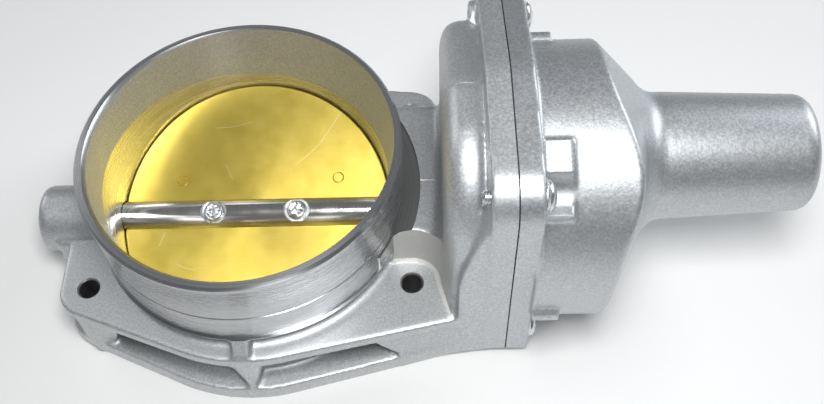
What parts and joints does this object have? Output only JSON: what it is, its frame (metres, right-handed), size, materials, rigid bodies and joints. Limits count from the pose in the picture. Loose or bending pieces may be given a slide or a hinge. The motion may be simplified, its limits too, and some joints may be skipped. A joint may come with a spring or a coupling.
{
  "type": "throttle body",
  "caption": "Electronic throttle body with a round inlet collar, a tilting brass plate, a four-hole flange and a motor in a side nose.",
  "frame": {"origin": "where the bore axis meets the mounting face", "axes": "+Z along the bore towards the air inlet, +X along the throttle shaft towards the motor nose, +Y away from the side that carries the raised front rib"},
  "size_m": [0.2442, 0.1156, 0.0898],
  "materials": {
    "cast_aluminium": "fine blasted casting, machined on the collar and faces",
    "steel": "ground",
    "zinc_plate": "bright plating",
    "spring_steel": "dark, oiled",
    "seal_rubber": "matt moulded",
    "gear_nylon": "moulded nylon",
    "black_plastic": "moulded, fine grain",
    "brass": "rolled sheet, finely brushed",
    "ferrite": "sintered",
    "copper": "plain"
  },
  "bodies": {
    "housing": {"body_casting": "cast_aluminium", "gear_cover": "cast_aluminium", "dowel_pin_1": "steel", "dowel_pin_2": "steel", "needle_bearing": "steel", "ball_bearing_outer_race": "steel", "idler_pin": "steel", "motor_screw_1": "steel", "motor_screw_2": "steel", "cover_screw_1": "zinc_plate", "cover_screw_2": "zinc_plate", "cover_screw_3": "zinc_plate", "cover_screw_4": "zinc_plate", "closed_stop_screw": "zinc_plate", "motor_can": "zinc_plate", "motor_end_plate": "zinc_plate", "connector_screw_1": "zinc_plate", "connector_screw_2": "zinc_plate", "bearing_circlip": "spring_steel", "return_spring": "spring_steel", "wave_washer": "spring_steel", "cover_gasket": "seal_rubber", "mount_seal": "seal_rubber", "shaft_seal_left": "seal_rubber", "shaft_seal_right": "seal_rubber", "position_sensor": "black_plastic", "connector_housing": "black_plastic", "motor_front_bushing": "brass", "motor_rear_bushing": "brass", "magnet_front": "ferrite", "magnet_back": "ferrite", "brush_upper": "ferrite", "brush_lower": "ferrite", "terminal_1": "copper", "terminal_2": "copper", "terminal_3": "copper", "terminal_4": "copper", "terminal_5": "copper", "terminal_6": "copper"},
    "throttle": {"throttle_shaft": "steel", "throttle_plate": "brass", "plate_screw_left": "zinc_plate", "plate_screw_right": "zinc_plate", "ball_bearing_inner_race": "steel", "sector_gear": "gear_nylon", "sensor_magnet": "ferrite", "spring_bushing": "black_plastic"},
    "idler": {"idler_gear": "gear_nylon"},
    "rotor": {"motor_shaft": "steel", "armature_core": "spring_steel", "commutator": "copper", "motor_pinion": "steel"},
    "cage": {"ball_bearing_cage": "steel"}
  },
  "joints": [
    {"name": "throttle_turn", "type": "hinge", "parent": "housing", "child": "throttle", "pos_m": [0, 0, 0.02], "axis": [1, 0, 0], "range_deg": [-2, 73], "stiffness_Nm_per_rad": 0.8},
    {"name": "idler_turn", "type": "hinge", "parent": "housing", "child": "idler", "pos_m": [0, -0.01812, 0.03573], "axis": [1, 0, 0], "range_deg": [-225, 12]},
    {"name": "rotor_turn", "type": "hinge", "parent": "housing", "child": "rotor", "pos_m": [0, 0, 0.0482], "axis": [1, 0, 0], "range_deg": [-30, 755]},
    {"name": "cage_turn", "type": "hinge", "parent": "housing", "child": "cage", "pos_m": [0, 0, 0.02], "axis": [1, 0, 0], "range_deg": [-2, 31]}
  ],
  "couplings": [
    {"joint": "idler_turn", "follows": "throttle_turn", "ratio": -3},
    {"joint": "rotor_turn", "follows": "throttle_turn", "ratio": 10.2},
    {"joint": "cage_turn", "follows": "throttle_turn", "ratio": 0.41}
  ]
}
